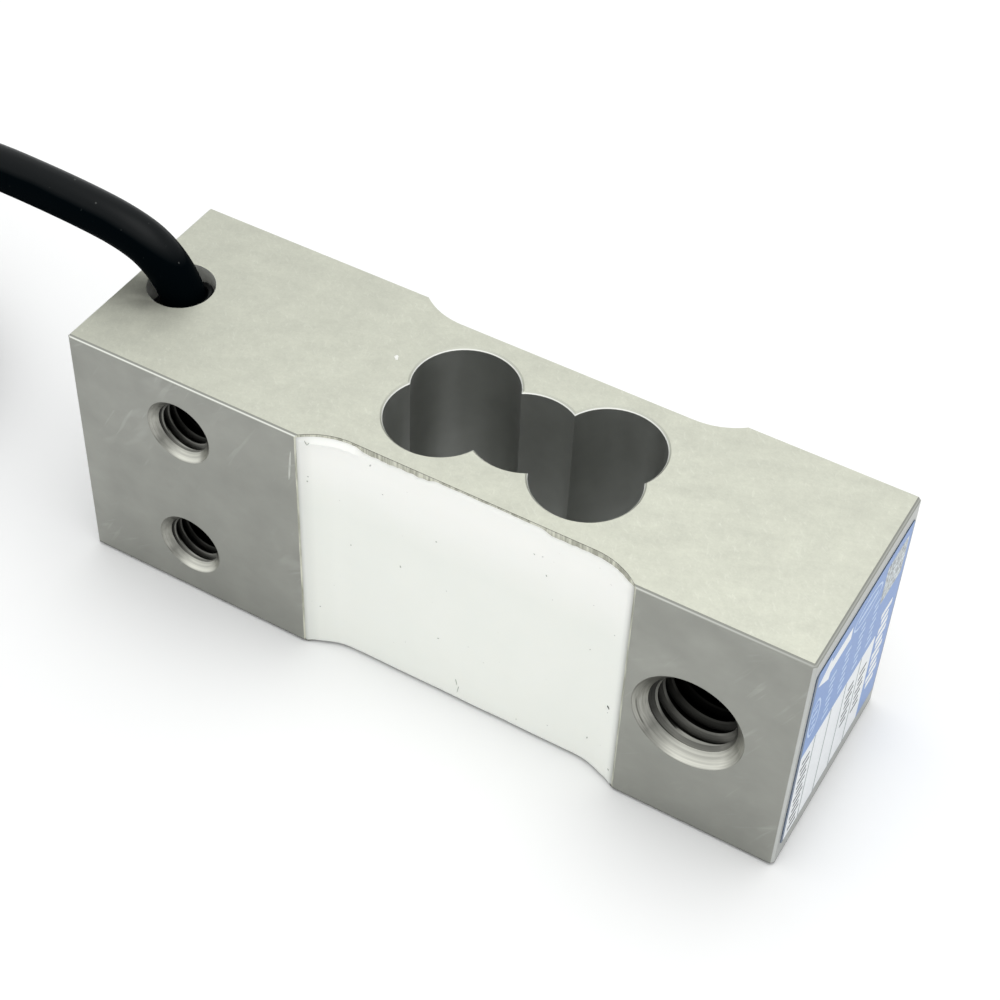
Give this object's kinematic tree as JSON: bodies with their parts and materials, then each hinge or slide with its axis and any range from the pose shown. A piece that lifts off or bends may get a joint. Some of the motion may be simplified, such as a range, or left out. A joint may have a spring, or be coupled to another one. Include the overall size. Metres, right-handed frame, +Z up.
{
  "type": "single point load cell",
  "caption": "Aluminium bending-beam load cell with a five-lobe flexure bore, tapped mounting holes, silicone-covered gauge areas and a shielded cable put up in a hank.",
  "frame": {"origin": "middle of the side face that the block lies on", "axes": "+X along the block, from the cable end to the load end; +Y from the tapped mounting face to the back; +Z up, along the flexure bore"},
  "size_m": [0.2322, 0.0522, 0.0468],
  "materials": {
    "body_metal": "fine satin, nickel plated",
    "silicone": "smooth white silicone",
    "label_film": "printed film, satin",
    "collar_rubber": "black, satin",
    "cable_jacket": "black jacket, satin",
    "tie_plastic": "black",
    "shrink_sleeve": "black, satin",
    "potting": "cast black resin",
    "tinned_copper": "tinned strands",
    "enamel_copper": "enamelled",
    "board": "resist coated",
    "resistor": "glazed",
    "gauge_film": "translucent film",
    "wire_red": "insulation",
    "wire_black": "insulation",
    "wire_green": "insulation",
    "wire_white": "insulation"
  },
  "bodies": {
    "root": {"back_jumpers": "enamel_copper", "back_left_gauge": "gauge_film", "back_right_gauge": "gauge_film", "back_sealant": "silicone", "back_terminal_board": "board", "cable": "cable_jacket", "cable_hank": "cable_jacket", "cable_potting": "potting", "cable_sleeve": "collar_rubber", "cable_tail": "cable_jacket", "conductor_black": "wire_black", "conductor_green": "wire_green", "conductor_red": "wire_red", "conductor_tips": "tinned_copper", "conductor_white": "wire_white", "crossover_wires": "wire_white", "drain_wire": "tinned_copper", "front_jumpers": "enamel_copper", "front_left_gauge": "gauge_film", "front_right_gauge": "gauge_film", "front_sealant": "silicone", "front_terminal_board": "board", "hank_tie": "tie_plastic", "lead_black": "wire_black", "lead_green": "wire_green", "lead_red": "wire_red", "lead_white": "wire_white", "load_cell_body": "body_metal", "rating_label": "label_film", "span_resistor": "resistor", "tail_sleeve": "shrink_sleeve", "zero_resistor": "resistor"}
  },
  "joints": []
}
